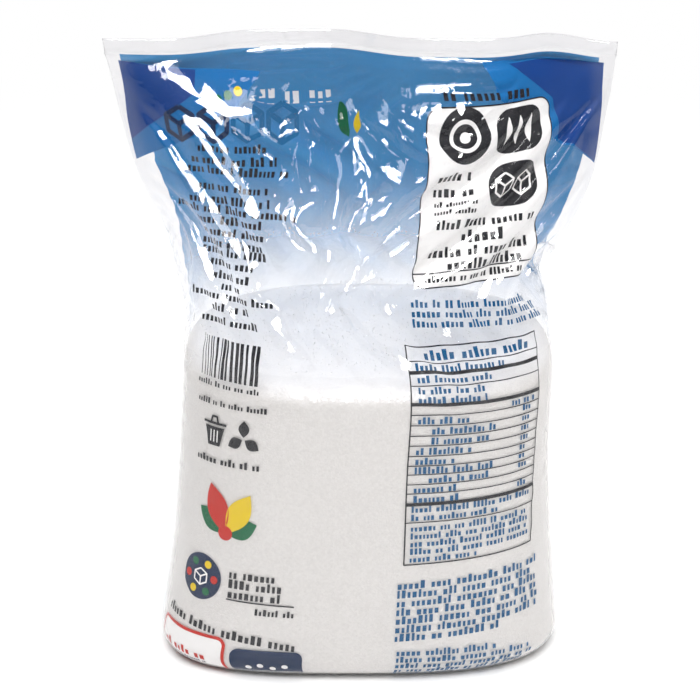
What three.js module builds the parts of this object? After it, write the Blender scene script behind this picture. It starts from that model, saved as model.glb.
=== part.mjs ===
import * as THREE from "three";
import { mergeVertices } from "three/addons/utils/BufferGeometryUtils.js";

// A bag of white sugar: a clear pillow bag, filled a little over half way, that stands on its flattened base.
// Above the sugar its two panels draw together and meet in one flat, wavy seal.
// Millimetres, +Z up. The shown panel faces -Y, and the origin is the middle of the base.

// The bag's driving sizes
const SEAL_TOP = 225.5; // height of the seal's free edge
const SEAL_BAND = 5; // height of the band where both films lie together
const FILM_PAIR = 2.4; // thickness that stands for the two films pressed together
const BASE_ROUND = 9; // radius where the panels turn under onto the base

// How far the bag reaches from its middle at each height. square is the roundness of the plan's corners,
// where 2 is an ellipse and more is boxier. fin is 0 where the side is round and 1 where it is a sharp fold.
const LEVELS = [
  { z: 0, left: 75, right: 73.5, depth: 46, squareLeft: 3.4, squareRight: 2.7, fin: 0 },
  { z: 15, left: 73, right: 72, depth: 47, squareLeft: 2.9, squareRight: 2.6, fin: 0 },
  { z: 40, left: 69.5, right: 70, depth: 47, squareLeft: 2.7, squareRight: 2.7, fin: 0 },
  { z: 80, left: 66, right: 68.2, depth: 47, squareLeft: 2.7, squareRight: 2.7, fin: 0 },
  { z: 112, left: 64, right: 68.5, depth: 47, squareLeft: 2.6, squareRight: 2.6, fin: 0.02 },
  { z: 130, left: 63.5, right: 66.5, depth: 46.5, squareLeft: 2.5, squareRight: 2.5, fin: 0.12 },
  { z: 143, left: 66, right: 63, depth: 45, squareLeft: 2.4, squareRight: 2.4, fin: 0.22 },
  { z: 158, left: 69.5, right: 72.5, depth: 42, squareLeft: 2.2, squareRight: 2.2, fin: 0.38 },
  { z: 176, left: 78, right: 81, depth: 36, squareLeft: 2.1, squareRight: 2.1, fin: 0.7 },
  { z: 195, left: 83.2, right: 85.5, depth: 26, squareLeft: 2, squareRight: 2, fin: 0.9 },
  { z: 211, left: 86, right: 87.6, depth: 13, squareLeft: 2, squareRight: 2, fin: 1 },
  { z: SEAL_TOP - SEAL_BAND, left: 88, right: 88.4, depth: 0, squareLeft: 2, squareRight: 2, fin: 1 },
  { z: SEAL_TOP, left: 88.7, right: 88.7, depth: 0, squareLeft: 2, squareRight: 2, fin: 1 },
];

// The seal waves to the front and back along its width, and the wave dies out below it.
const SEAL_WAVE = { reach: 9, length: 110, crestX: -23, fadeFrom: 160 };

// Soft upright folds in the slack film between the sugar and the seal
const SHOULDER_FOLDS = { reach: 2.2, spacing: 31, from: 126, to: SEAL_TOP - SEAL_BAND };

// Small level ripples in the folded side edges beside the sugar
const EDGE_RIPPLES = { reach: 0.8, spacing: 21, from: 16, to: 118 };

// The mesh: columns across each panel, rows up the bag, and how many of the rows turn under onto the base
const COLUMNS = 46;
const ROWS = 48;
const ROUND_ROWS = 5;

function levelCurve(key) {
  const heights = LEVELS.map((level) => level.z);
  const values = LEVELS.map((level) => level[key]);
  const curve = new THREE.CubicInterpolant(heights, values, 1);
  return (z) => curve.evaluate(z)[0];
}

const reachAt = { left: levelCurve("left"), right: levelCurve("right") };
const squareAt = { left: levelCurve("squareLeft"), right: levelCurve("squareRight") };
const depthAt = levelCurve("depth");
const finAt = levelCurve("fin");

// 0 outside the span and 1 in its middle
function swell(z, { from, to }) {
  const t = THREE.MathUtils.clamp((z - from) / (to - from), 0, 1);
  return Math.sin(Math.PI * t) ** 2;
}

// A row of the mesh is a height and how far the turned-under edge draws in there.
function rowAt(v) {
  const roundShare = ROUND_ROWS / ROWS;
  if (v < roundShare) {
    const turn = (v / roundShare) * (Math.PI / 2);
    return { z: BASE_ROUND * (1 - Math.cos(turn)), inset: BASE_ROUND * (1 - Math.sin(turn)) };
  }
  const rise = (v - roundShare) / (1 - roundShare);
  return { z: BASE_ROUND + rise * (SEAL_TOP - BASE_ROUND), inset: 0 };
}

// across runs from -1 at the left edge to 1 at the right, face is -1 on the front panel and 1 on the back,
// and v runs from 0 at the base to 1 at the seal's free edge.
function bagPoint(across, face, v) {
  const { z, inset } = rowAt(v);
  const side = across < 0 ? "left" : "right";
  const rippleTurn = (2 * Math.PI * z) / EDGE_RIPPLES.spacing;
  const ripple = EDGE_RIPPLES.reach * swell(z, EDGE_RIPPLES) * Math.cos(rippleTurn);
  const share = Math.sin((across * Math.PI) / 2);
  const x = share * (reachAt[side](z) - inset + ripple * Math.abs(share) ** 6);

  const square = squareAt[side](z);
  const roundness = THREE.MathUtils.lerp(1 / square, 1, THREE.MathUtils.clamp(finAt(z), 0, 1));
  const bulge = (1 - Math.abs(share) ** square) ** roundness;
  const fold = Math.cos((2 * Math.PI * x) / SHOULDER_FOLDS.spacing + face);
  const depth = Math.max(0, depthAt(z) - inset) + SHOULDER_FOLDS.reach * swell(z, SHOULDER_FOLDS) * fold;

  const waveShare = THREE.MathUtils.smoothstep(z, SEAL_WAVE.fadeFrom, SEAL_TOP);
  const wave = SEAL_WAVE.reach * Math.cos((2 * Math.PI * (x - SEAL_WAVE.crestX)) / SEAL_WAVE.length);
  const y = face * Math.max(FILM_PAIR / 2, depth * bulge) + wave * waveShare;
  return new THREE.Vector3(x, y, z);
}

// A box of two panels, each a grid, is bent into the bag, so that it stays one closed body.
function makeBagGeometry() {
  const box = new THREE.BoxGeometry(2, 2, 1, COLUMNS, 1, ROWS);
  box.deleteAttribute("normal");
  box.deleteAttribute("uv");
  const position = box.getAttribute("position");
  for (let i = 0; i < position.count; i += 1) {
    const point = bagPoint(position.getX(i), Math.sign(position.getY(i)), position.getZ(i) + 0.5);
    position.setXYZ(i, point.x, point.y, point.z);
  }
  const merged = mergeVertices(box, 1e-4);
  merged.computeVertexNormals();
  return merged;
}

const filmMaterial = new THREE.MeshStandardMaterial({ color: 0xe6e6e4, roughness: 0.25, metalness: 0 });

const sugarBag = new THREE.Mesh(makeBagGeometry(), filmMaterial);
sugarBag.name = "sugar_bag";

const bag = new THREE.Group();
bag.add(sugarBag);

export default bag;
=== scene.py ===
import math

import bpy
import numpy as np
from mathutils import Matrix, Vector


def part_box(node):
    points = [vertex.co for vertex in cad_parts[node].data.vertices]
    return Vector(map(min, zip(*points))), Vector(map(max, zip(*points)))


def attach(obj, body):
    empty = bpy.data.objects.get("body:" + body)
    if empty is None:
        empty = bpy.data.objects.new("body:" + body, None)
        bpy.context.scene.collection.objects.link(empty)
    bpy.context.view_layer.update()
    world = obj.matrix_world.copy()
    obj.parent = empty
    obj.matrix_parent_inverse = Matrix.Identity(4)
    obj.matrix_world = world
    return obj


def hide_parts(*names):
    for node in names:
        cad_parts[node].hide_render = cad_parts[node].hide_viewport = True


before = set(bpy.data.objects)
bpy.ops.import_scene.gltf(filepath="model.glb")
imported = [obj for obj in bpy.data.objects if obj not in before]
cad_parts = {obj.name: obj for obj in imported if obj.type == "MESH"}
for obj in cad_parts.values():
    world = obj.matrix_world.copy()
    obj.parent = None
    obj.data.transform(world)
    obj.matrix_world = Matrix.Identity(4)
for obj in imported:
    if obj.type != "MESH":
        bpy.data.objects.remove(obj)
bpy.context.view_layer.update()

# The bag is worked out in millimetres and written to Blender in metres.
MM = 0.001

# --- The bag's form, the same sizes as the solid's
SEAL_TOP = (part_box("sugar_bag")[1].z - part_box("sugar_bag")[0].z) / MM
SEAL_BAND = 5.0
BASE_ROUND = 9.0
FILM_WIDTH = 189.0  # flat width of one panel between its side folds
FILM_TALL = 231.0  # height of the film along its side folds, from the base to the seal's edge
FILM_GAP = 0.5  # half the space that is kept between the two films
SEAL_GAP = 0.12  # half the space between them in the seal
FRONT, BACK = -1, 1

# Height, reach left, reach right, depth, corner squareness left and right, and how sharp the side fold is
LEVELS = np.array(
    [
        (0, 75, 73.5, 46, 3.4, 2.7, 0),
        (15, 73, 72, 47, 2.9, 2.6, 0),
        (40, 69.5, 70, 47, 2.7, 2.7, 0),
        (80, 66, 68.2, 47, 2.7, 2.7, 0),
        (112, 64, 68.5, 47, 2.6, 2.6, 0.02),
        (130, 63.5, 66.5, 46.5, 2.5, 2.5, 0.12),
        (143, 66, 63, 45, 2.4, 2.4, 0.22),
        (158, 69.5, 72.5, 42, 2.2, 2.2, 0.38),
        (176, 78, 81, 36, 2.1, 2.1, 0.7),
        (195, 83.2, 85.5, 26, 2, 2, 0.9),
        (211, 86, 87.6, 13, 2, 2, 1),
        (SEAL_TOP - SEAL_BAND, 88, 88.4, 0, 2, 2, 1),
        (SEAL_TOP, 88.7, 88.7, 0, 2, 2, 1),
    ],
    float,
)
HEIGHT, LEFT, RIGHT, DEPTH, SQUARE_LEFT, SQUARE_RIGHT, FIN = range(7)
WAVE_REACH, WAVE_LENGTH, WAVE_CREST, WAVE_FADE = 9.0, 110.0, -23.0, 160.0

SUGAR_TOP = 118.0  # height of the sugar at the bag's wall
SUGAR_TILT = 0.11  # how much higher the sugar lies towards the back
SUGAR_SHOULDER = 9.0  # how round the sugar's upper edge is pressed
SUGAR_INSET, FILM_CLEAR = 0.6, 0.25  # how far inside the bag's form the sugar's wall and the film's limit lie
MOUND_WIDE, MOUND_DEEP, MOUND_HIGH, LUMP_HIGH = 66.0, 46.0, 3.0, 0.55  # the low mound on top, with its lumps

TIGHT_BELOW, SLACK_ABOVE = 100.0, 135.0  # the heights between which the film changes from tight to slack
SLACK_ENDS = 188, 212  # the heights between which it goes back to the bag's own width
SEAL_CALM = 196, 214  # the heights between which the film goes over to its plain outline under the seal
SIDE_SLACK = 0.035  # how much taller the film is than the bag at its side folds
SIDE_STARTS, SIDE_ENDS = (6, 26), (185, 215)  # the heights between which that slack comes in and goes again
EDGE_HOLD = 0.05  # how firmly the side folds keep to their outline
SEAL_HOLD = 0.05  # how firmly the film keeps to its outline just under the seal
SEAL_RIPPLE, SEAL_RIPPLE_LENGTH = 1.3, 37.0  # small ripples along the seal, on top of its wave
CORNER_DROP = 4.5  # how far the seal's right corner sags
SAG_ACROSS, SAG_UP = (58, 88), (195, 225)  # where that sag comes in, across the bag and up it

# Where a panel takes up its spare width: each gather's middle, half width and share, from the left fold
GATHERS = {
    FRONT: [(86.0, 30.0, 0.74), (25.0, 15.0, 0.18), (178.0, 10.0, 0.08)],
    BACK: [(62.0, 44.0, 0.5), (128.0, 44.0, 0.5)],
}
SIDE_RIPPLE, RIPPLE_HIGH = 17.0, 0.9  # spacing and height of the ripples along the side folds
RIPPLES_START, RIPPLES_END = (12, 24), (108, 128)
MIDDLE_SLACK = 0.05  # how much taller the film is than the bag along the middle of each panel
MIDDLE_STARTS, MIDDLE_ENDS = (118, 133), (178, 198)

# Long creases from handling: start and end on the flat film, height and half width
LONG_CREASES = [
    ((6, 222), (38, 176), -3.5, 9),
    ((30, 219), (40, 200), 2.5, 7),
    ((74, 214), (86, 150), 5.0, 9),
    ((98, 216), (92, 140), -5.0, 9),
    ((134, 223), (126, 205), -2.0, 7),
    ((182, 164), (160, 148), -5.0, 9),
]
CREASES_START = 112, 137
FRONT_CREASES = 88, 17  # middle and spread of the front panel's scattered creases, from the left fold
CREASE_LOW, CREASE_HIGH = 125, 220
# Creases scattered at random: how many on each panel, their height, half length and half width
WIDE_CREASES = {"front": 16, "back": 26, "height": 5.0, "reach": (12, 40), "half_width": (6, 17)}
SMALL_CREASES = {"front": 70, "back": 90, "height": 1.8, "reach": (5, 16), "half_width": (2.5, 6)}


def smooth(t):
    t = np.clip(t, 0, 1)
    return t * t * (3 - 2 * t)


def between(value, low, high):
    """Runs smoothly from 0 to 1 while value runs from low to high."""
    return smooth((value - low) / (high - low))


def slackness(z):
    return between(z, TIGHT_BELOW, SLACK_ABOVE)


def spline(x, stations, values):
    """A smooth curve through uneven stations."""
    slope = np.gradient(values, stations)
    k = np.clip(np.searchsorted(stations, x, side="right") - 1, 0, len(stations) - 2)
    step = stations[k + 1] - stations[k]
    t = np.clip((x - stations[k]) / step, 0, 1)
    here = (1 + 2 * t) * (1 - t) ** 2 * values[k] + t * (1 - t) ** 2 * step * slope[k]
    there = t * t * (3 - 2 * t) * values[k + 1] + t * t * (t - 1) * step * slope[k + 1]
    return here + there


def level(z, key):
    return spline(np.clip(z, 0, SEAL_TOP), LEVELS[:, HEIGHT], LEVELS[:, key])


def side_shape(left, z):
    """The bag's reach and corner squareness at a height, on its left or its right."""
    reach = np.where(left, level(z, LEFT), level(z, RIGHT))
    return reach, np.where(left, level(z, SQUARE_LEFT), level(z, SQUARE_RIGHT))


def wave(x, z):
    """How far the seal's wave carries the film forward or back."""
    share = between(z, WAVE_FADE, SEAL_TOP)
    ripple = SEAL_RIPPLE * np.cos(2 * np.pi * x / SEAL_RIPPLE_LENGTH + 1.1) * share**3
    return WAVE_REACH * np.cos(2 * np.pi * (x - WAVE_CREST) / WAVE_LENGTH) * share + ripple


def panel_curve(z, inset, face):
    """One panel's line at a height, left to right: x, y and the way run along it."""
    share = np.sin(np.linspace(-1, 1, 1501) * np.pi / 2)
    reach, square = side_shape(share < 0, z)
    fin = np.clip(level(z, FIN), 0, 1)
    x = share * (reach - inset)
    bulge = (1 - np.abs(share) ** square) ** ((1 - fin) / square + fin)
    y = face * np.maximum((level(z, DEPTH) - inset) * bulge, FILM_GAP) + wave(x, z)
    run = np.concatenate([[0], np.cumsum(np.hypot(np.diff(x), np.diff(y)))])
    return x, y, run


def panel_line(z, inset, face, cols, spare=0.0):
    """Points across one panel, left to right, drawn together in its gathers by the share of spare film."""
    x, y, run = panel_curve(z, inset, face)
    flat = np.linspace(0, FILM_WIDTH, cols + 1)
    taken = np.zeros(cols + 1)
    for middle, half, share in GATHERS[face]:
        t = np.clip((flat - middle) / half, -1, 1)
        taken += share * (1 + t + np.sin(np.pi * t) / np.pi) / 2
    place = flat - spare * max(FILM_WIDTH - run[-1], 0) * taken
    place *= run[-1] / place[-1]
    return np.interp(place, run, x), np.interp(place, run, y)


def bag_line(z, inset, cols, spare=0.0):
    """Points round the bag at a height, x and y: the front left to right, then the back right to left."""
    front, back = (panel_line(z, inset, face, cols, spare) for face in (FRONT, BACK))
    return [np.concatenate([ahead[:-1], behind[:0:-1]]) for ahead, behind in zip(front, back)]


def row_heights(rows):
    """The height and draw-in of each row, from the flat base round its turned edge to the seal's edge."""
    turn_length = BASE_ROUND * np.pi / 2
    run = np.linspace(0, turn_length + SEAL_TOP - BASE_ROUND, rows + 1)
    turn = np.clip(run / BASE_ROUND, 0, np.pi / 2)
    z = np.where(run < turn_length, BASE_ROUND * (1 - np.cos(turn)), BASE_ROUND + run - turn_length)
    return z, BASE_ROUND * (1 - np.sin(turn))


def smooth_form(cols, rows):
    """The bag with no creases: rows up it and columns round it."""
    form = np.zeros((rows + 1, 2 * cols, 3))
    for j, (z, inset) in enumerate(zip(*row_heights(rows))):
        form[j, :, 0], form[j, :, 1] = bag_line(z, inset, cols, slackness(z))
        form[j, :, 2] = z
    return form


# --- The film, relaxed: it keeps its flat size, so it buckles where the bag is slimmer
def film_pairs(rows, around):
    """Pairs of neighbours, in sets where no point comes twice."""
    index = np.arange((rows + 1) * around).reshape(rows + 1, around)
    next_one, next_two = np.roll(index, -1, axis=1), np.roll(index, -2, axis=1)
    col, row = np.arange(around), np.arange(rows + 1)
    sets = []
    for odd in (0, 1):
        across = col % 2 == odd
        up = row[:-1][row[:-1] % 2 == odd]
        sets.append(("across", index[:, across], next_one[:, across]))
        sets.append(("up", index[up], index[up + 1]))
        sets.append(("slant", index[up], next_one[up + 1]))
        sets.append(("slant", next_one[up], index[up + 1]))
    for odd in (0, 1):
        across = (col % 4) // 2 == odd
        up = row[:-2][(row[:-2] % 4) // 2 == odd]
        sets.append(("bend across", index[:, across], next_two[:, across]))
        sets.append(("bend up", index[up], index[up + 2]))
    return [(kind, a.ravel(), b.ravel()) for kind, a, b in sets]


def push_out_of_sugar(p, free):
    """Keeps the film just outside the sugar."""
    near = np.where((p[:, 2] < SUGAR_TOP + SUGAR_TILT * p[:, 1]) & free)[0]
    q = p[near]
    under = np.clip(BASE_ROUND - q[:, 2], 0, BASE_ROUND)
    over = np.clip(q[:, 2] - SUGAR_TILT * q[:, 1] - SUGAR_TOP + SUGAR_SHOULDER, 0, SUGAR_SHOULDER)
    inset = BASE_ROUND - np.sqrt(BASE_ROUND**2 - under**2)
    inset = inset + SUGAR_SHOULDER - np.sqrt(SUGAR_SHOULDER**2 - over**2) + FILM_CLEAR
    reach, square = side_shape(q[:, 0] < 0, q[:, 2])
    deep = level(q[:, 2], DEPTH) - inset
    fill = (np.abs(q[:, 0]) / (reach - inset)) ** square + (np.abs(q[:, 1]) / deep) ** square
    grow = np.where(fill < 1, np.minimum(np.maximum(fill, 1e-6) ** (-1 / square), 1.5), 1.0)
    p[near, 0] = q[:, 0] * grow
    p[near, 1] = q[:, 1] * grow


def film_lengths(form, cols):
    """The flat film's own spacing across and up at each point, and how slack each row is."""
    z = form[:, 0, 2]
    slack = (slackness(z) * (1 - between(z, *SLACK_ENDS)))[:, None]
    wide = np.linalg.norm(np.roll(form, -1, axis=1) - form, axis=2) * (1 - slack) + FILM_WIDTH / cols * slack
    rise = np.linalg.norm(np.diff(form, axis=0), axis=2)
    side = np.abs(np.cos(np.pi * np.arange(2 * cols) / cols))
    lift = 1 - between(side, 0.5, 0.9)
    rise = rise + (np.maximum(rise, rise[:, cols // 2, None]) - rise) * lift
    z = z[:-1]
    side_spare = SIDE_SLACK * between(z, *SIDE_STARTS) * (1 - between(z, *SIDE_ENDS))
    middle_spare = MIDDLE_SLACK * between(z, *MIDDLE_STARTS) * (1 - between(z, *MIDDLE_ENDS))
    spare = side_spare[:, None] * side**6 + middle_spare[:, None] * (1 - side) ** 2
    return wide, rise * (1 + spare), slack, side


def relax(start, cols, rows, steps, bend, hold):
    """Moves the film a little at a time until it has its flat size again."""
    form = smooth_form(cols, rows)
    around = 2 * cols
    points = form.reshape(-1, 3)
    wide, tall, slack, side = film_lengths(form, cols)
    p = start.reshape(-1, 3).astype(np.float32)
    aim = points.astype(np.float32)
    z = form[:, 0, 2]
    free = np.repeat((z > 5) & (z < SEAL_TOP - SEAL_BAND), around)
    face = np.tile(np.where(np.arange(around) < cols, FRONT, BACK).astype(np.float32), rows + 1)
    edge_hold = (np.tile(side**40, rows + 1) * EDGE_HOLD * free).astype(np.float32)
    move = free.astype(np.float32)
    near_seal = np.repeat(between(z, *SEAL_CALM), around)
    hold_all = ((hold + SEAL_HOLD * near_seal) * move).astype(np.float32)[:, None]

    pairs = []
    for kind, a, b in film_pairs(rows, around):
        row, col = a // around, a % around
        if kind == "across":
            rest = wide[row, col]
        elif kind == "up":
            rest = tall[row, col]
        elif kind == "slant":
            # on the sugar the film follows the bag's own slant, and above it the film is a true flat grid
            own = np.linalg.norm(points[b] - points[a], axis=1)
            true = np.hypot(wide[row, col], tall[row, col])
            rest = own + (true - own) * slack[row, 0]
        elif kind == "bend across":
            rest = wide[row, col] + wide[row, (col + 1) % around]
        else:
            rest = tall[row, col] + tall[row + 1, col]
        both = np.maximum(move[a] + move[b], 1)
        shares = (move[a] / both)[:, None], (move[b] / both)[:, None]
        pairs.append((kind, a, b, rest.astype(np.float32), *shares))

    for step in range(steps):
        p += (aim - p) * hold_all
        p[:, 0] += (aim[:, 0] - p[:, 0]) * edge_hold
        for kind, a, b, rest, share_a, share_b in pairs[:: 1 if step % 2 else -1]:
            apart = p[b] - p[a]
            length = np.sqrt((apart * apart).sum(axis=1)) + 1e-9
            pull = (length - rest) / length
            if kind.startswith("bend"):
                pull = np.minimum(pull, 0) * bend
            elif kind == "slant":
                pull = pull * 0.5
            apart *= pull[:, None]
            p[a] += apart * share_a
            p[b] -= apart * share_b
        if step % 2:
            push_out_of_sugar(p, free)
            middle = wave(p[:, 0], p[:, 2])
            crossed = ((p[:, 1] - middle) * face < FILM_GAP) & free
            p[crossed, 1] = middle[crossed] + FILM_GAP * face[crossed]
    return p.reshape(rows + 1, around, 3)


def resampled(points, at, axis, wrap):
    """A smooth curve through the points along one axis of a grid, read at other places."""
    k = np.floor(at).astype(int)
    t = (at - k).reshape([-1 if i == axis else 1 for i in range(3)])
    count = points.shape[axis]

    def step(i):
        place = (k + i) % count if wrap else np.clip(k + i, 0, count - 1)
        return np.take(points, place, axis=axis)

    p0, p1, p2, p3 = step(-1), step(0), step(1), step(2)
    square = 2 * p0 - 5 * p1 + 4 * p2 - p3
    cube = 3 * p1 - p0 - 3 * p2 + p3
    return 0.5 * (2 * p1 + (p2 - p0) * t + square * t**2 + cube * t**3)


def finer(grid, cols, rows):
    """The same film on a finer grid."""
    taller = resampled(grid, np.linspace(0, grid.shape[0] - 1, rows + 1), 0, False)
    return resampled(taller, np.arange(2 * cols) * grid.shape[1] / (2 * cols), 1, True)


def grid_normals(grid):
    across = np.roll(grid, -1, axis=1) - np.roll(grid, 1, axis=1)
    normal = np.cross(across, np.gradient(grid, axis=0))
    return normal / np.maximum(np.linalg.norm(normal, axis=2, keepdims=True), 1e-9)


def crease(u, v, start, end, half_width):
    """A roof-shaped ridge on the flat film, highest midway between its start and its end."""
    run_u, run_v = end[0] - start[0], end[1] - start[1]
    length = math.hypot(run_u, run_v)
    from_u = (u - (start[0] + end[0]) / 2 + FILM_WIDTH) % (2 * FILM_WIDTH) - FILM_WIDTH
    from_v = v - (start[1] + end[1]) / 2
    along = np.abs(from_u * run_u + from_v * run_v) / length
    off = np.abs(from_v * run_u - from_u * run_v) / length
    return np.clip(1 - off / half_width, 0, 1) * np.sqrt(np.clip(1 - 2 * along / length, 0, 1))


def crease_relief(cols, rows, long_creases, scattered, seed):
    """Creases from handling, as heights over the film."""
    rng = np.random.default_rng(seed)
    u, v = np.meshgrid(np.arange(2 * cols) * FILM_WIDTH / cols, np.linspace(0, FILM_TALL, rows + 1))
    relief = np.zeros_like(u)
    for start, end, height, half_width in long_creases:
        relief += height * crease(u, v, start, end, half_width)
    for i in range(scattered["front"] + scattered["back"]):
        on_front = i < scattered["front"]
        back_span = FILM_WIDTH + 12, 2 * FILM_WIDTH - 12
        middle_u = rng.normal(*FRONT_CREASES) if on_front else rng.uniform(*back_span)
        middle_v = rng.uniform(CREASE_LOW, CREASE_HIGH)
        turn, reach = rng.uniform(0, np.pi), rng.uniform(*scattered["reach"])
        step_u, step_v = reach * math.cos(turn), reach * math.sin(turn)
        start, end = (middle_u - step_u, middle_v - step_v), (middle_u + step_u, middle_v + step_v)
        height = scattered["height"] * rng.uniform(-1, 1)
        relief += height * crease(u, v, start, end, rng.uniform(*scattered["half_width"]))
    z = row_heights(rows)[0][:, None]
    relief *= between(z, *CREASES_START) * (1 - between(z, *SEAL_CALM))
    side = np.abs(np.cos(np.pi * u / FILM_WIDTH))
    ripple = np.sin(2 * np.pi * z / SIDE_RIPPLE + 2.2 * np.sin(z / 17) + (u > FILM_WIDTH / 2))
    relief += RIPPLE_HIGH * ripple * side**24 * between(z, *RIPPLES_START) * (1 - between(z, *RIPPLES_END))
    return relief[:, :, None]


def finished(film):
    """Smooths the film where it lies tight, presses the seal flat and lets its right corner sag."""
    share = 0.5 * (1 - slackness(film[:, :1, 2:] + 12)) * (film[:, :1, 2:] > 1)
    for _ in range(10):
        beside = np.roll(film, 1, axis=1) + np.roll(film, -1, axis=1)
        above_below = np.concatenate([film[:1], film[:-1]]) + np.concatenate([film[1:], film[-1:]])
        film = film + ((beside + above_below) / 4 - film) * share
    middle = wave(film[:, :, 0], film[:, :, 2])
    pressed = smooth((film[:, :, 2] - SEAL_TOP + SEAL_BAND + 1) / 2)
    film[:, :, 1] = middle + (film[:, :, 1] - middle) * (1 + (SEAL_GAP / FILM_GAP - 1) * pressed)
    film[:, :, 2] -= CORNER_DROP * between(film[:, :, 0], *SAG_ACROSS) * between(film[:, :, 2], *SAG_UP)
    return film


COARSE, MIDDLE, FINE = (60, 76), (120, 152), (180, 228)  # columns across a panel and rows up it


def make_film_grid():
    film = smooth_form(*COARSE)
    film = film + grid_normals(film) * crease_relief(*COARSE, LONG_CREASES, WIDE_CREASES, seed=5)
    film = relax(film, *COARSE, steps=800, bend=0.45, hold=0.004)
    film = finer(film, *MIDDLE)
    film = film + grid_normals(film) * crease_relief(*MIDDLE, [], SMALL_CREASES, seed=8)
    film = relax(film, *MIDDLE, steps=300, bend=0.4, hold=0.001)
    film = finer(film, *FINE)
    film = relax(film, *FINE, steps=60, bend=0.3, hold=0.0005)
    return finished(film)


film_grid = make_film_grid()
film_normal = grid_normals(film_grid)


# --- Mesh helpers
def make_object(name, points, faces, material, uv=None, smooth_faces=True):
    mesh = bpy.data.meshes.new(name)
    mesh.from_pydata((np.asarray(points) * MM).tolist(), [], [list(f) for f in faces])
    mesh.polygons.foreach_set("use_smooth", [smooth_faces] * len(mesh.polygons))
    if uv is not None:
        layer = mesh.uv_layers.new(name="film")
        loops = np.zeros(len(mesh.loops), int)
        mesh.loops.foreach_get("vertex_index", loops)
        layer.data.foreach_set("uv", np.asarray(uv)[loops].ravel())
    mesh.materials.append(material)
    mesh.update()
    obj = bpy.data.objects.new(name, mesh)
    bpy.context.scene.collection.objects.link(obj)
    return obj


def stand_for_bag(obj):
    """Makes a piece ride with the bag, in the place of its solid."""
    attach(obj, "root")
    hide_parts("sugar_bag")


def grid_faces(rows, cols, wrap=False):
    """Quads between the points of a grid with rows and cols points."""
    index = np.arange(rows * cols).reshape(rows, cols)
    right = np.roll(index, -1, axis=1)
    if not wrap:
        index, right = index[:, :-1], right[:, :-1]
    return np.stack([index[:-1], right[:-1], right[1:], index[1:]], axis=-1).reshape(-1, 4)


def film_point(u, v, depth):
    """A place on the film: u round it from the left fold, v up it, and depth below its outer face."""
    rows, around = film_grid.shape[0] - 1, film_grid.shape[1]
    col = (u / (2 * FILM_WIDTH) * around) % around
    row = np.clip(v / FILM_TALL * rows, 0, rows - 1e-6)
    c, r = np.floor(col).astype(int), np.floor(row).astype(int)
    s, t = (col - c)[..., None], (row - r)[..., None]
    d = (c + 1) % around
    c = c % around

    def read(a):
        low = a[r, c] * (1 - s) + a[r, d] * s
        high = a[r + 1, c] * (1 - s) + a[r + 1, d] * s
        return low * (1 - t) + high * t

    return read(film_grid) - read(film_normal) * depth[..., None]


# --- Material helpers
def feed(tree, socket, value):
    if isinstance(value, bpy.types.NodeSocket):
        tree.links.new(value, socket)
    else:
        socket.default_value = value


def node(tree, kind, inputs=None, **settings):
    """Adds a shader node. Its inputs are plain values or other nodes' outputs."""
    made = tree.nodes.new("ShaderNode" + kind)
    for key, value in settings.items():
        setattr(made, key, value)
    for key, value in (inputs or {}).items():
        feed(tree, made.inputs[key], value)
    return made


def calc(tree, operation, a, b=0.0):
    return node(tree, "Math", {0: a, 1: b}, operation=operation).outputs[0]


def times(tree, a, b):
    return calc(tree, "MULTIPLY", a, b)


def plus(tree, a, b):
    return calc(tree, "ADD", a, b)


def ramp(tree, value, low, high, out_low=0.0, out_high=1.0):
    """Runs smoothly from out_low to out_high while value runs from low to high."""
    inputs = {"Value": value, "From Min": low, "From Max": high, "To Min": out_low, "To Max": out_high}
    return node(tree, "MapRange", inputs, interpolation_type="SMOOTHSTEP").outputs["Result"]


def mixed(tree, share, first, second):
    """A colour between two others."""
    return node(tree, "Mix", {0: share, 6: first, 7: second}, data_type="RGBA").outputs[2]


def noise(tree, place, size, detail=2.0):
    """Soft random values from 0 to 1, with blots of a size in millimetres."""
    return node(tree, "TexNoise", {"Vector": place, "Scale": 1 / (size * MM), "Detail": detail}).outputs[0]


def on_film(tree):
    """The place on the flat film: the share of the way round it, and the height up it in millimetres."""
    u, v, _ = node(tree, "SeparateXYZ", {0: node(tree, "UVMap", uv_map="film").outputs[0]}).outputs
    return u, times(tree, v, FILM_TALL)


def new_material(name):
    material = bpy.data.materials.new(name)
    material.use_nodes = True
    tree = material.node_tree
    tree.nodes.clear()
    return material, tree


def put_out(tree, seen, shadow):
    """Feeds the material's output: one shader for what is seen and one for the shadow it throws."""
    for_shadow = node(tree, "LightPath").outputs["Is Shadow Ray"]
    both = node(tree, "MixShader", {0: for_shadow, 1: seen.outputs[0], 2: shadow.outputs[0]})
    node(tree, "OutputMaterial", {0: both.outputs[0]})


def new_group(name, inputs, outputs):
    """A shader node group, with its sockets given as name: kind."""
    group = bpy.data.node_groups.new(name, "ShaderNodeTree")
    for way, sockets in (("INPUT", inputs), ("OUTPUT", outputs)):
        for label, kind in sockets.items():
            group.interface.new_socket(name=label, in_out=way, socket_type="NodeSocket" + kind)
    return group, group.nodes.new("NodeGroupInput").outputs, group.nodes.new("NodeGroupOutput").inputs


def place_group(tree, group, inputs):
    made = tree.nodes.new("ShaderNodeGroup")
    made.node_tree = group
    for key, value in inputs.items():
        feed(tree, made.inputs[key], value)
    return made.outputs


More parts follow.
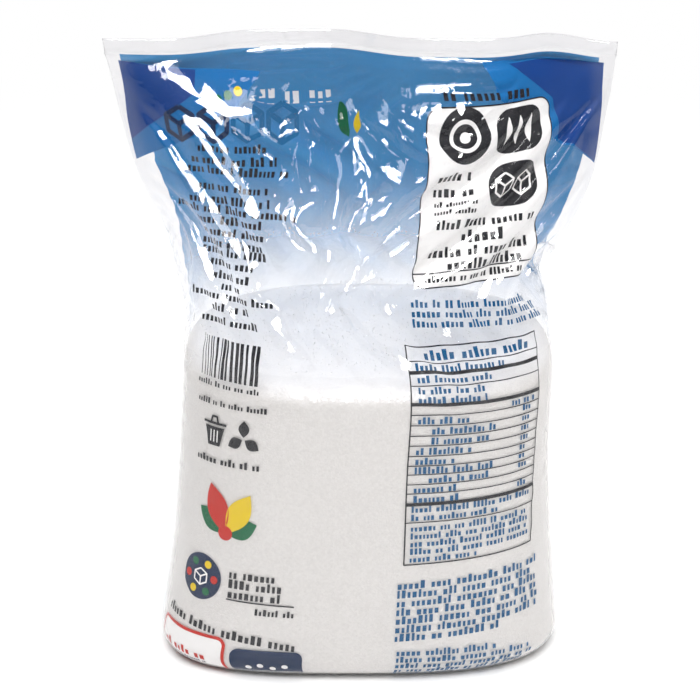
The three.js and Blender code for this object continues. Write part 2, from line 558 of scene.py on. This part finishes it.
# --- Shared effects
def make_grain_group():
    """Sugar crystals: each cell is one grain, with a tone and a height of its own."""
    group, given, gives = new_group(
        "sugar_grain", {"Place": "Vector", "Grains per metre": "Float"}, {"Tone": "Float", "Height": "Float"}
    )
    cells = node(group, "TexVoronoi", {"Vector": given["Place"], "Scale": given["Grains per metre"]})
    tone = node(group, "SeparateColor", {0: cells.outputs["Color"]}).outputs[0]
    lift = calc(group, "SUBTRACT", 1.0, cells.outputs["Distance"])
    feed(group, gives["Tone"], tone)
    feed(group, gives["Height"], times(group, lift, plus(group, 0.6, tone)))
    return group


def make_ink_group():
    """Ink as it lies on film: a little uneven, with pinholes where it took badly."""
    group, given, gives = new_group(
        "ink_lay",
        {"Place": "Vector", "Color": "Color", "Cover": "Float", "Unevenness": "Float"},
        {"Color": "Color", "Cover": "Float"},
    )
    cloud = noise(group, given["Place"], 14.0, 3.0)
    speck = ramp(group, noise(group, given["Place"], 0.9), 0.3, 0.42)
    fade = times(group, given["Unevenness"], calc(group, "SUBTRACT", 1.0, speck))
    tone = times(group, given["Unevenness"], calc(group, "SUBTRACT", cloud, 0.5))
    bright = node(group, "BrightContrast", {"Color": given["Color"], "Bright": times(group, tone, 0.3)})
    feed(group, gives["Color"], bright.outputs[0])
    feed(group, gives["Cover"], times(group, given["Cover"], calc(group, "SUBTRACT", 1.0, fade)))
    return group


def make_crumple_group():
    """Crumpled film: flat facets that meet in sharp ridges, longer up the film than across it."""
    group, given, gives = new_group("film_crumple", {"Place": "Vector"}, {"Height": "Float"})
    warp = node(group, "TexNoise", {"Vector": given["Place"], "Scale": 45.0, "Detail": 0.0}).outputs["Color"]
    warp = node(group, "VectorMath", {0: warp, 1: (0.018, 0.018, 0.018)}, operation="MULTIPLY").outputs[0]
    warped = node(group, "VectorMath", {0: given["Place"], 1: warp}).outputs[0]
    x, _, z = node(group, "SeparateXYZ", {0: warped}).outputs
    place = node(group, "CombineXYZ", {0: x, 1: times(group, z, 0.5)}).outputs[0]
    height = 0.0
    for size, slope in ((14.0, 0.3), (6.0, 0.12)):
        inputs = {"Vector": place, "Scale": 1 / (size * MM)}
        facets = node(group, "TexVoronoi", inputs, feature="DISTANCE_TO_EDGE", voronoi_dimensions="2D")
        inputs = {"Vector": place, "Scale": 1 / (2.3 * size * MM), "Detail": 0.0}
        cloud = node(group, "TexNoise", inputs, noise_dimensions="2D").outputs[0]
        lift = times(group, ramp(group, cloud, 0.35, 0.65, -slope, slope), size)
        height = plus(group, height, times(group, facets.outputs["Distance"], lift))
    feed(group, gives["Height"], height)
    return group


GRAIN = make_grain_group()
INK_LAY = make_ink_group()
CRUMPLE = make_crumple_group()


# --- Materials
FILM_LIFTS = 112.0, 140.0  # the heights on the film between which it leaves the sugar
SEAL_FOOT = 225.4, 226.4  # the heights on the film between which the seal starts


def film_material():
    """Clear film: sharp glints and a fine crumple where it hangs slack, duller on the sugar."""
    material, tree = new_material("clear_film")
    place = node(tree, "TexCoord").outputs["Object"]
    round_film, v = on_film(tree)
    slack = ramp(tree, v, *FILM_LIFTS)
    off_middle = calc(tree, "ABSOLUTE", node(tree, "SeparateXYZ", {0: place}).outputs["X"])
    worked = times(tree, slack, ramp(tree, off_middle, 25 * MM, 52 * MM, 1.0, 0.3))
    worked = times(tree, worked, ramp(tree, v, 198.0, 220.0, 1.0, 0.35))
    crumple = times(tree, place_group(tree, CRUMPLE, {"Place": place})["Height"], worked)
    soft = calc(tree, "ABSOLUTE", calc(tree, "SUBTRACT", noise(tree, place, 16.0, 2.0), 0.5))
    soft = times(tree, soft, plus(tree, 0.15, slack))
    height = plus(tree, crumple, soft)
    normal = node(tree, "Bump", {"Height": height, "Strength": 1.0, "Distance": MM}).outputs[0]

    seal = ramp(tree, v, *SEAL_FOOT)
    haze = ramp(tree, noise(tree, place, 30.0), 0.2, 0.8, 0.004, 0.016)
    fold = calc(tree, "ABSOLUTE", calc(tree, "COSINE", times(tree, round_film, 2 * math.pi)))
    fold = times(tree, ramp(tree, fold, 0.985, 1.0, 0.0, 0.3), slack)
    haze = plus(tree, haze, times(tree, calc(tree, "MAXIMUM", seal, fold), 0.2))
    veil = node(tree, "BsdfPrincipled", {"Base Color": (0.72, 0.72, 0.74, 1), "Roughness": 0.5})
    clear = node(tree, "BsdfTransparent", {"Color": (0.955, 0.95, 0.957, 1)})
    body = node(tree, "MixShader", {0: haze, 1: clear.outputs[0], 2: veil.outputs[0]})

    facing = node(tree, "LayerWeight", {"Blend": 0.5, "Normal": normal}).outputs["Facing"]
    share = plus(tree, times(tree, calc(tree, "POWER", facing, 5.0), 0.8), 0.04)
    rough = ramp(tree, slack, 0.0, 1.0, 0.34, 0.07)
    gloss = node(tree, "BsdfGlossy", {"Color": (1, 1, 1, 1), "Roughness": rough, "Normal": normal})
    film = node(tree, "MixShader", {0: share, 1: body.outputs[0], 2: gloss.outputs[0]})
    # shadows take the film as plain clear sheet
    put_out(tree, film, clear)
    return material


def sugar_material(name, grains_per_metre, depth, painted_light_from=0.25):
    """White crystals, each with its own tone and glint. Where the surface faces up past the given level they
    are painted whiter: painted light from above."""
    material, tree = new_material(name)
    place = node(tree, "TexCoord").outputs["Object"]
    grain = place_group(tree, GRAIN, {"Place": place, "Grains per metre": grains_per_metre})
    cloud = noise(tree, place, 25.0)
    tone = plus(tree, times(tree, grain["Tone"], 0.7), times(tree, cloud, 0.3))
    pressed = mixed(tree, tone, (0.71, 0.69, 0.66, 1), (0.81, 0.79, 0.76, 1))
    # painted light: the whiter colour for faces that point up, as if lit from above
    painted_top_light = mixed(tree, tone, (0.8, 0.79, 0.78, 1), (0.85, 0.84, 0.83, 1))
    up = node(tree, "SeparateXYZ", {0: node(tree, "NewGeometry").outputs["Normal"]}).outputs["Z"]
    # painted light from above: the sides keep the plainer colour and the upward faces take the whiter one
    color = mixed(tree, ramp(tree, up, painted_light_from, painted_light_from + 0.6), pressed, painted_top_light)
    bump = node(tree, "Bump", {"Height": grain["Height"], "Strength": 0.5, "Distance": depth * MM})
    rough = ramp(tree, grain["Tone"], 0.0, 1.0, 0.3, 0.75)
    inputs = {"Base Color": color, "Roughness": rough, "Normal": bump.outputs[0]}
    body = node(tree, "BsdfPrincipled", inputs)
    node(tree, "OutputMaterial", {0: body.outputs[0]})
    return material


def ink_material(name, color, cover=0.99, unevenness=0.05, fade=None):
    """Ink under the film. fade gives the heights on the film between which it thins out to nothing."""
    material, tree = new_material(name)
    place = node(tree, "TexCoord").outputs["Object"]
    if fade:
        cover = ramp(tree, on_film(tree)[1], *fade, 0.0, cover)
    inputs = {"Place": place, "Color": (*color, 1), "Cover": cover, "Unevenness": unevenness}
    lay = place_group(tree, INK_LAY, inputs)
    ink = node(tree, "BsdfPrincipled", {"Base Color": lay["Color"], "Roughness": 0.55})
    ink.inputs["Specular IOR Level"].default_value = 0.05
    clear = node(tree, "BsdfTransparent", {"Color": (1, 1, 1, 1)})
    printed = node(tree, "MixShader", {0: lay["Cover"], 1: clear.outputs[0], 2: ink.outputs[0]})
    # light gets through the thin ink, into the bag
    put_out(tree, printed, node(tree, "BsdfTransparent", {"Color": (0.92, 0.905, 0.89, 1)}))
    return material


# --- The film
def make_film():
    rows, around = film_grid.shape[:2]
    faces = [tuple(f) for f in grid_faces(rows, around, wrap=True)]
    top = (rows - 1) * around
    # the seal's free edge and the flat base close the shell
    for i in range(around // 2):
        quad = [i, i + 1, around - i - 1, (around - i) % around]
        for start, ring in ((top, quad), (0, quad[::-1])):
            face = []
            for k in ring:
                if start + k not in face:
                    face.append(start + k)
            faces.append(tuple(face))
    u, v = np.meshgrid(np.arange(around) / around, np.linspace(0, 1, rows))
    uv = np.stack([u, v], axis=-1).reshape(-1, 2)
    film = make_object("clear_film", film_grid.reshape(-1, 3), faces, film_material(), uv=uv)
    stand_for_bag(film)


# --- The sugar
def sugar_surface(x, y):
    """Height of the sugar's upper surface: tilted, with a low mound and soft lumps."""
    reach = np.clip(1 - (x / MOUND_WIDE) ** 2 - (y / MOUND_DEEP) ** 2, 0, 1)
    lumps = np.sin(x / 9.0 + 1.3 * np.sin(y / 11.0)) + np.sin(y / 7.0 + 1.1 * np.sin(x / 13.0))
    return SUGAR_TOP + SUGAR_TILT * y + (MOUND_HIGH + LUMP_HIGH * lumps) * np.sqrt(reach)


def make_sugar():
    cols, rows, rings = 150, 100, 44
    wall = []
    for z in np.linspace(0.5, SUGAR_TOP, rows + 1):
        under = max(0.0, BASE_ROUND - z)
        over = max(0.0, z - (SUGAR_TOP - SUGAR_SHOULDER))
        inset = BASE_ROUND - math.sqrt(BASE_ROUND**2 - under**2)
        inset += SUGAR_SHOULDER - math.sqrt(SUGAR_SHOULDER**2 - over**2) + SUGAR_INSET
        x, y = bag_line(z, inset, cols)
        wall.append(np.stack([x, y, z + SUGAR_TILT * y * (z / SUGAR_TOP) ** 3], axis=1))
    rim = wall[-1]
    above_rim = sugar_surface(rim[:, 0], rim[:, 1]) - rim[:, 2]
    top = []
    for share in np.linspace(1, 0, rings + 1)[1:]:
        ring = rim * [share, share, 1]
        ring[:, 2] = sugar_surface(ring[:, 0], ring[:, 1]) - above_rim * share
        top.append(ring)
    base = wall[0] * [0, 0, 1]
    grid = np.array([base, *wall, *top])
    faces = grid_faces(grid.shape[0], grid.shape[1], wrap=True)
    sugar = make_object("sugar", grid.reshape(-1, 3), faces, sugar_material("white_sugar", 1400.0, 0.12))
    stand_for_bag(sugar)


def make_loose_grains(count=1500):
    """Crystals that lie free on the sugar: small blocks, each turned its own way."""
    rng = np.random.default_rng(11)
    reach, turn = np.sqrt(rng.uniform(0, 1, count)), rng.uniform(0, 2 * np.pi, count)
    x, y = 59.0 * reach * np.cos(turn), 40.0 * reach * np.sin(turn)
    middle = np.stack([x, y, sugar_surface(x, y)], axis=1)
    corner = np.array([(i, j, k) for k in (-1, 1) for j in (-1, 1) for i in (-1, 1)]) * 0.5
    size = rng.uniform(0.18, 0.36, (count, 1)) * rng.uniform(0.7, 1.0, (count, 3))
    axes = np.linalg.qr(rng.normal(size=(count, 3, 3)))[0]
    points = middle[:, None] + (corner[None] * size[:, None]) @ axes
    sides = np.array([(0, 2, 3, 1), (4, 5, 7, 6), (0, 1, 5, 4), (2, 6, 7, 3), (0, 4, 6, 2), (1, 3, 7, 5)])
    faces = (sides[None] + 8 * np.arange(count)[:, None, None]).reshape(-1, 4)
    # painted light: every side of these grains takes the whiter colour of sugar lit from above
    material = sugar_material("loose_sugar", 900.0, 0.05, painted_light_from=-2.0)
    grains = make_object("loose_grains", points.reshape(-1, 3), faces, material, smooth_faces=False)
    stand_for_bag(grains)


# --- Print: patches of ink laid out on the flat film in millimetres, then just under it
CELL = 0.6  # the patches' own grid
INNER, FIELD, LABEL, LETTER, OVERPRINT = 0.45, 0.37, 0.28, 0.14, 0.06  # depths under the film's face
U_MIDDLE_BACK = 1.5 * FILM_WIDTH


def steps(low, high):
    return np.linspace(low, high, max(2, int(np.ceil(abs(high - low) / CELL)) + 1))


def rounded_path(left, right, bottom, top, corner):
    quarter = np.linspace(0, np.pi / 2, 7)
    middles = [(right, top, -1, -1), (left, top, 1, -1), (left, bottom, 1, 1), (right, bottom, -1, 1)]
    path = []
    for k, (u, v, in_u, in_v) in enumerate(middles):
        turn = quarter + k * np.pi / 2
        middle = (u + in_u * corner, v + in_v * corner)
        path.append(np.stack([middle[0] + corner * np.cos(turn), middle[1] + corner * np.sin(turn)], axis=1))
    return np.concatenate(path)


INKS = []


class Ink:
    """One colour of print."""

    def __init__(self, name, slot, color, **finish):
        self.name, self.slot = name, slot
        self.material = ink_material(name, color, **finish)
        self.points, self.faces, self.count = [], [], 0
        INKS.append(self)

    def patch(self, u, v, depth):
        """A grid of places on the film, its rows going up and its columns to the right."""
        rows, cols = u.shape
        self.points.append(np.stack([u, v, np.full_like(u, depth)], axis=-1).reshape(-1, 3))
        self.faces.append(grid_faces(rows, cols) + self.count)
        self.count += rows * cols

    def span(self, heights, left, right, depth):
        """A filled shape, from its left and right edges at a few heights."""
        v = np.unique(np.concatenate([steps(a, b) for a, b in zip(heights[:-1], heights[1:])]))
        left, right = np.interp(v, heights, left)[:, None], np.interp(v, heights, right)[:, None]
        across = steps(0, np.max(right - left))
        across = across[None] / across[-1]
        self.patch(left + (right - left) * across, v[:, None] + 0 * across, depth)

    def rounded(self, left, right, bottom, top, corner, depth):
        turn = np.linspace(0, np.pi / 2, 7)
        rise, draw = corner * (1 - np.cos(turn)), corner * (1 - np.sin(turn))
        heights = np.concatenate([bottom + rise, (top - rise)[::-1]])
        draw = np.concatenate([draw, draw[::-1]])
        self.span(heights, left + draw, right - draw, depth)

    def stroke(self, path, width, depth, closed=False):
        path = np.asarray(path, float)
        if closed:
            path = np.concatenate([path, path[:1]])
        run = np.concatenate([[0], np.cumsum(np.linalg.norm(np.diff(path, axis=0), axis=1))])
        at = np.union1d(run, steps(0, run[-1]))
        line = np.stack([np.interp(at, run, path[:, k]) for k in (0, 1)], axis=1)
        ahead = np.gradient(line, axis=0)
        ahead /= np.maximum(np.linalg.norm(ahead, axis=1, keepdims=True), 1e-9)
        side = np.stack([ahead[:, 1], -ahead[:, 0]], axis=1) * width / 2
        grid = np.stack([line - side, line + side], axis=1)
        self.patch(grid[:, :, 0], grid[:, :, 1], depth)

    def disc(self, u, v, reach, depth, hole=0.0):
        turn = np.linspace(2 * np.pi, 0, 33)[None]
        out = steps(hole, reach)[:, None]
        self.patch(u + out * np.cos(turn), v + out * np.sin(turn), depth)

    def leaf(self, start, end, width, depth):
        start, end = np.array(start, float), np.array(end, float)
        length = np.linalg.norm(end - start)
        ahead = (end - start) / length
        side = np.array([ahead[1], -ahead[0]])
        along = steps(0, length)[:, None]
        half = width / 2 * np.sin(np.pi * along / length)
        across = np.linspace(-1, 1, 5)[None]
        self.patch(
            start[0] + ahead[0] * along + side[0] * half * across,
            start[1] + ahead[1] * along + side[1] * half * across,
            depth,
        )

    def cube(self, u, v, reach, width, depth):
        """The outline of a sugar cube, seen from a corner."""
        turns = [k * math.pi / 3 for k in range(6)]
        corners = [(u + reach * math.sin(turn), v + reach * math.cos(turn)) for turn in turns]
        self.stroke(corners, width, depth, closed=True)
        for k in (1, 3, 5):
            self.stroke([(u, v), corners[k]], width, depth)

    def words(self, left, right, v, tall, slope=0.0, depth=LETTER):
        """A row of plain blocks, as long and as tall as small print, with gaps between words."""
        at = left
        while at < right - 0.4 * tall:
            for _ in range(int(WORDS.integers(2, 9))):
                wide = tall * WORDS.uniform(0.26, 0.46)
                if at + wide > right:
                    break
                high = tall * WORDS.choice([0.62, 0.62, 0.7, 0.95])
                low = v + slope * (at - left) - tall / 2
                rise = low + np.array([[0.0], [0.5], [1.0]]) * high + np.array([[0.0, slope * wide]])
                self.patch(np.array([[at, at + wide]] * 3), rise, depth)
                at += wide + tall * 0.22
            at += tall * 0.5

    def lay(self):
        """Lays all of this ink's patches under the film, as one piece."""
        flat = np.concatenate(self.points)
        points = film_point(flat[:, 0], flat[:, 1], flat[:, 2])
        uv = flat[:, :2] / [2 * FILM_WIDTH, FILM_TALL]
        piece = make_object("print_" + self.name, points, np.concatenate(self.faces), self.material, uv=uv)
        stand_for_bag(piece)


WORDS = np.random.default_rng(3)
SKY_BLUE = Ink("sky_blue", "blue_print", (0.05, 0.27, 0.55), unevenness=0.1, fade=(106.0, 180.0))
BRIGHT_BLUE = Ink("bright_blue", "blue_print", (0.001, 0.14, 0.4))
DEEP_BLUE = Ink("deep_blue", "blue_print", (0.0, 0.045, 0.235))
TEXT_BLUE = Ink("text_blue", "blue_print", (0.001, 0.1, 0.25))
NAVY = Ink("navy", "blue_print", (0.004, 0.022, 0.075))
BLACK = Ink("black", "dark_print", (0.012, 0.012, 0.016))
WHITE = Ink("white", "white_print", (0.98, 0.97, 0.95), cover=0.97)
RED = Ink("red", "colour_print", (0.6, 0.025, 0.012))
YELLOW = Ink("yellow", "colour_print", (0.86, 0.62, 0.008))
GREEN = Ink("green", "colour_print", (0.0, 0.15, 0.055))


def lay_upper_corners():
    """A blue field in each upper corner of the front, with a deeper blue outer part."""
    heights, right = [189, 199.7, 201.2, 218.6, 223.4], [2.6, 31.5, 36.6, 54, 4.4]
    BRIGHT_BLUE.span(heights, [2.3, 3, 3.1, 4, 4.1], right, FIELD)
    heights, right = [196.4, 204.6, 213.1, 220.4, 223.2], [3.2, 16.6, 29.7, 30.9, 6]
    DEEP_BLUE.span(heights, [3, 3.4, 3.8, 4, 4.1], right, LABEL)
    heights, left = [186.4, 196, 212, 222.8, 223.6], [187.4, 166.4, 141.7, 137.6, 137.2]
    BRIGHT_BLUE.span(heights, left, [187.8, 187, 185.4, 184.8, 140], FIELD)
    heights, left = [187, 196.5, 210.3, 222.6], [186.8, 167.6, 164.4, 147]
    DEEP_BLUE.span(heights, left, [187.5, 186.8, 185.4, 184.6], LABEL)


def lay_cube_row():
    """A row of sugar cubes across the upper left, with three small dots over it."""
    for k in range(4):
        (TEXT_BLUE if k > 1 else NAVY).cube(23.9 + 12.1 * k, 203.2 + 0.3 * k, 5.7, 1.7, LETTER)
    for k, ink in enumerate((GREEN, GREEN, YELLOW)):
        ink.disc(38 + 3.6 * k, 211.0 + 1.1 * k, 1.5, LETTER)


def lay_small_print():
    rows = [(195.8, 12.5), (191.9, 16), (188.7, 20.5), (183.2, 15), (179, 16.5), (175.8, 25), (172.2, 14.5)]
    rows += [(168.4, 13.5), (164.5, 14.5), (161.6, 14), (157.7, 10.5), (153.4, 10), (149.8, 5)]
    rows += [(146.4, 18), (142.4, 8.5), (138, 13)]
    for v, half in rows:
        BLACK.words(43 - half, 43 + half, v, 2.9)


def lay_stripes():
    """A block of upright stripes with two rows of small print under it."""
    rng = np.random.default_rng(21)
    at, end = 30.5, 56.5
    while at < end:
        wide = rng.choice([0.45, 0.45, 0.9, 1.3])
        BLACK.span([117.2, 131.6], [at] * 2, [at + wide] * 2, LETTER)
        at += wide + rng.choice([0.45, 0.5, 0.9, 1.2])
    BLACK.words(29, 56, 115.2, 2.2)
    BLACK.words(30, 60, 108.6, 2.2)


def lay_signs():
    """Two plain black signs, coloured leaves and a dark disc, down the left."""
    BLACK.span([92.6, 99.6], [36.2, 34.4], [41.4, 43.2], LETTER)
    BLACK.stroke([(33.6, 100.9), (44, 100.9)], 0.9, LETTER)
    BLACK.stroke([(37.2, 101.2), (37.8, 103.4), (39.8, 103.4), (40.4, 101.2)], 0.8, LETTER)
    for u in (37.3, 38.8, 40.3):
        WHITE.stroke([(u, 94), (u, 98.4)], 0.5, OVERPRINT)
    for turn in (90, 210, 330):
        way = np.array([math.cos(math.radians(turn)), math.sin(math.radians(turn))])
        middle = np.array([51.0, 97.2])
        BLACK.leaf(middle + 0.6 * way, middle + 6.8 * way, 4.2, LETTER)
    BLACK.words(31, 58, 87.4, 2.8)

    for end in ((33.5, 68.5), (57.0, 65.5)):
        GREEN.leaf((45, 60.5), end, 8.2, LABEL)
    RED.leaf((44.6, 60.5), (38.4, 78.5), 9.0, LETTER)
    YELLOW.leaf((45.4, 60.5), (54.5, 76.5), 8.6, LETTER)
    RED.disc(45, 60.6, 2.8, OVERPRINT)

    NAVY.disc(35.6, 41.6, 8.8, LABEL)
    for k, ink in enumerate((RED, YELLOW, GREEN) * 2):
        turn = math.radians(60 * k)
        ink.disc(35.6 + 6 * math.cos(turn), 41.6 + 6 * math.sin(turn), 1.5, OVERPRINT)
    WHITE.cube(35.6, 41.6, 3.2, 0.6, OVERPRINT)
    for v, right in ((45.6, 64.5), (41.8, 67), (38, 67)):
        BLACK.words(47.5, right, v, 3.5)
    BLACK.stroke([(47, 35.6), (71.5, 35.2)], 0.5, LETTER)
    BLACK.words(58, 72, 32.2, 2.6)


def lay_lower_left():
    """A slanting row of print over two labels at the foot of the bag."""
    BLACK.words(20, 76, 25.8, 3.6, slope=-0.12)
    WHITE.rounded(16, 48.5, 4.2, 20, 3, LABEL)
    RED.stroke(rounded_path(16, 48.5, 4.2, 20, 3), 1.2, LETTER, closed=True)
    RED.words(21, 44, 12.6, 3.6, slope=-0.05)
    NAVY.words(23, 42, 8.6, 1.5)
    NAVY.rounded(51, 76, 4, 17.4, 3, LABEL)
    for k in range(4):
        WHITE.disc(57.5 + 4.2 * k, 9.6 + 1.2 * (k % 2), 1.1, OVERPRINT)


def lay_right_label():
    """A white label with a thin dark border, three black tiles with plain white shapes, and rows of print."""
    BLACK.words(121.5, 158.5, 215.0, 4.3, slope=-0.03)
    left, right, bottom, top = 115.2, 163.0, 152.0, 211.0
    WHITE.rounded(left, right, bottom, top, 4.5, LABEL)
    BLACK.stroke(rounded_path(left, right, bottom, top, 4.5), 0.45, LETTER, closed=True)

    BLACK.disc(128.4, 202.2, 8.9, LETTER)
    WHITE.disc(128.4, 202.2, 5.4, OVERPRINT, hole=4.1)
    WHITE.disc(128.4, 202.2, 1.8, OVERPRINT)
    BLACK.rounded(139.5, 159.5, 194.6, 209.4, 6, LETTER)
    for k in range(3):
        WHITE.leaf((144.5 + 5 * k, 197.2), (144.5 + 5 * k, 206.8), 2.6, OVERPRINT)
    BLACK.rounded(138.5, 159.5, 176.6, 191.4, 6.8, LETTER)
    for k in range(2):
        WHITE.cube(144.5 + 9 * k, 184, 4.0, 0.7, OVERPRINT)

    rows = [(189.0, 119.5, 134.5, 3.6), (184.0, 119.5, 134.5, 3.6), (180.0, 120, 135, 1.8)]
    rows += [(177.2, 120, 135, 1.8), (172.8, 121, 160, 3.3), (168.0, 132, 149, 4.2), (163.2, 120, 160.5, 3.5)]
    rows += [(158.9, 127, 158, 3.5), (154.8, 119, 157, 2.4)]
    for v, first, last, tall in rows:
        BLACK.words(first, last, v, tall)
    BLACK.stroke([(left, 156.7), (right, 156.7)], 0.4, LETTER)
    for v, last in ((147.6, 166), (144.5, 169), (141.4, 170)):
        TEXT_BLUE.words(114.2, last, v, 2.7, slope=-0.1)


# The table's corners on the film
TABLE_TOP = np.array([(110.0, 134.2), (162.5, 130.8)])
TABLE_FOOT = np.array([(108.3, 51.8), (156.9, 54.2)])
TABLE_RULES = (0.074, 0.179, 0.313, 0.36, 0.407, 0.452, 0.499, 0.543, 0.583, 0.628, 0.67, 0.804)


def table_place(across, down):
    """A place in the table, from 0 to 1 across it and down it."""
    edge = TABLE_TOP * (1 - down) + TABLE_FOOT * down
    return edge[0] * (1 - across) + edge[1] * across


def table_words(first, last, down, tall):
    start, end = table_place(first, down), table_place(last, down)
    TEXT_BLUE.words(start[0], end[0], start[1], tall, slope=(end[1] - start[1]) / (end[0] - start[0]))


def lay_table():
    """A ruled table: a heading, thin and thick rules, and a short entry at the right of most rows."""
    BLACK.stroke([*TABLE_TOP, *TABLE_FOOT[::-1]], 0.5, LETTER, closed=True)
    for down, width in [(down, 0.4) for down in TABLE_RULES] + [(down, 1.3) for down in (0.121, 0.266, 0.72)]:
        BLACK.stroke([table_place(0, down), table_place(1, down)], width, LETTER)
    table_words(0.12, 0.93, 0.037, 3.9)
    table_words(0.73, 0.96, 0.29, 2.6)
    for down, last in ((0.097, 0.7), (0.15, 0.62), (0.2, 0.54), (0.243, 0.55)):
        table_words(0.05, last, down, 2.7)
    entries = ((0.337, 0.45), (0.384, 0.62), (0.43, 0.58), (0.476, 0.46), (0.521, 0.33), (0.563, 0.62))
    entries += ((0.606, 0.6), (0.65, 0.38), (0.695, 0.4))
    for k, (down, last) in enumerate(entries):
        table_words(0.15 if k in (1, 2, 6) else 0.05, last, down, 2.7)
        if k != 7:
            table_words(0.83, 0.91, down - 0.01, 2.5)
    notes = ((0.742, 0.97), (0.78, 0.7), (0.83, 0.96), (0.866, 0.97), (0.902, 0.96), (0.938, 0.97))
    for down, last in notes + ((0.974, 0.55),):
        table_words(0.04, last, down, 2.5)


def lay_paragraph():
    """Bold blue rows under the table, the last of them on the turned-under edge."""
    for k, last in enumerate((160, 159, 160, 160, 161, 160, 144)):
        TEXT_BLUE.words(106.5, last, 43.9 - 3.4 * k, 3.2, slope=0.06)
    for k, last in enumerate((142, 156, 158, 155, 150)):
        TEXT_BLUE.words(107.5, last, 17.6 - 2.9 * k, 2.7)


def lay_back():
    """The back panel: a blue band that thins out downwards, white print, leaves, cubes and a blue foot."""
    rise, t = np.meshgrid(np.linspace(0, 1, 210), np.linspace(0, 1, 290), indexing="ij")
    v = 100 + rise * (124.6 + 1.0 * smooth((t - 0.7) / 0.25))
    ends = np.interp(v, [100, 170, 188, 205, 224], [196.5, 196.5, 195.5, 194.5, 195.0])
    starts = np.interp(v, [100, 170, 188, 205, 224], [368.5, 368.5, 369.0, 371.5, 373.0])
    SKY_BLUE.patch(ends + (starts - ends) * t, v, FIELD)
    for depth in (INNER, LETTER):
        WHITE.words(294, 327, 204.5, 5.6, depth=depth)
        GREEN.leaf((287, 186), (291, 200), 4.4, depth)
        YELLOW.leaf((284, 187), (283, 197), 2.6, depth)
    for row, count in enumerate((3, 2, 1)):
        for k in range(count):
            TEXT_BLUE.cube(U_MIDDLE_BACK + 19 * (k - (count - 1) / 2), 66 + 16.4 * row, 9.4, 1.8, LETTER)
    for k, half in enumerate((38, 44, 30)):
        TEXT_BLUE.words(U_MIDDLE_BACK - half, U_MIDDLE_BACK + half, 48 - 6.5 * k, 4.2)
    u, t = np.meshgrid(steps(200, 367), np.linspace(0, 1, 28))
    BRIGHT_BLUE.patch(u, 3 + (22 + 5 * np.sin((u - 200) / 26) - 3) * t, FIELD)


def lay_print():
    for lay in (lay_upper_corners, lay_cube_row, lay_small_print, lay_stripes, lay_signs, lay_lower_left):
        lay()
    for lay in (lay_right_label, lay_table, lay_paragraph, lay_back):
        lay()
    for ink in INKS:
        ink.lay()


# --- Floor, light and camera
def make_floor():
    """A pale floor that shows white away from the bag."""
    material, tree = new_material("pale_floor")
    body = node(tree, "BsdfPrincipled", {"Base Color": (0.95, 0.95, 0.95, 1), "Roughness": 0.95})
    white = node(tree, "Emission", {"Color": (1, 1, 1, 1), "Strength": 1.0})
    place = node(tree, "TexCoord").outputs["Object"]
    away = node(tree, "VectorMath", {0: place}, operation="LENGTH").outputs["Value"]
    seen = node(tree, "LightPath").outputs["Is Camera Ray"]
    seen = times(tree, seen, ramp(tree, away, 0.3, 0.9))
    floor = node(tree, "MixShader", {0: seen, 1: body.outputs[0], 2: white.outputs[0]})
    node(tree, "OutputMaterial", {0: floor.outputs[0]})
    reach = 4000.0
    corners = [(-reach, -reach, 0), (reach, -reach, 0), (reach, reach, 0), (-reach, reach, 0)]
    make_object("floor", corners, [(0, 1, 2, 3)], material)


def make_light(name, place, aim, wide, tall, power, diffuse=True, glossy=True):
    lamp = bpy.data.lights.new(name, "AREA")
    lamp.shape = "RECTANGLE"
    lamp.size, lamp.size_y, lamp.energy = wide, tall, power
    obj = bpy.data.objects.new(name, lamp)
    bpy.context.scene.collection.objects.link(obj)
    obj.location = place
    obj.rotation_euler = (Vector(aim) - Vector(place)).to_track_quat("-Z", "Y").to_euler()
    obj.visible_diffuse, obj.visible_glossy = diffuse, glossy


def make_world():
    """A white studio that shows white, and lights the bag more softly."""
    world = bpy.data.worlds.new("studio")
    bpy.context.scene.world = world
    world.use_nodes = True
    tree = world.node_tree
    seen = node(tree, "LightPath").outputs["Is Camera Ray"]
    feed(tree, tree.nodes["Background"].inputs["Strength"], ramp(tree, seen, 0.0, 1.0, 0.16, 1.0))
    tree.nodes["Background"].inputs["Color"].default_value = (1, 1, 1, 1)


def make_camera():
    distance, elevation = 0.85, math.radians(20)
    aim = Vector((-0.0043, 0, 0.110))
    lens = bpy.data.cameras.new("camera")
    lens.sensor_width = 36.0
    lens.lens = 36.0 * distance / 0.252
    camera = bpy.data.objects.new("camera", lens)
    bpy.context.scene.collection.objects.link(camera)
    camera.location = aim + distance * Vector((0, -math.cos(elevation), math.sin(elevation)))
    camera.rotation_euler = (aim - camera.location).to_track_quat("-Z", "Y").to_euler()
    bpy.context.scene.camera = camera


make_film()
make_sugar()
make_loose_grains()
lay_print()
make_floor()
make_world()
make_light("overhead", (0.0, 0.25, 1.5), (0, 0.25, 0), 2.2, 3.0, 42, glossy=False)
make_light("front", (0.0, -0.7, 1.35), (0, 0, 0.12), 0.7, 0.5, 7.2)
make_light("key", (-0.25, -0.95, 0.85), (0, 0, 0.14), 0.3, 0.26, 4.6, diffuse=False)
make_light("glare", (0.12, -0.95, 0.95), (0, 0, 0.16), 0.66, 0.46, 44.0, diffuse=False)
make_light("side", (0.85, -0.35, 0.5), (0, 0, 0.14), 0.1, 0.6, 1.0, glossy=False)
make_camera()
bpy.context.scene.view_settings.view_transform = "Standard"
cycles = bpy.context.scene.cycles
# enough for the many films and inks that one line of sight crosses
cycles.transparent_max_bounces, cycles.diffuse_bounces, cycles.glossy_bounces = 32, 3, 2
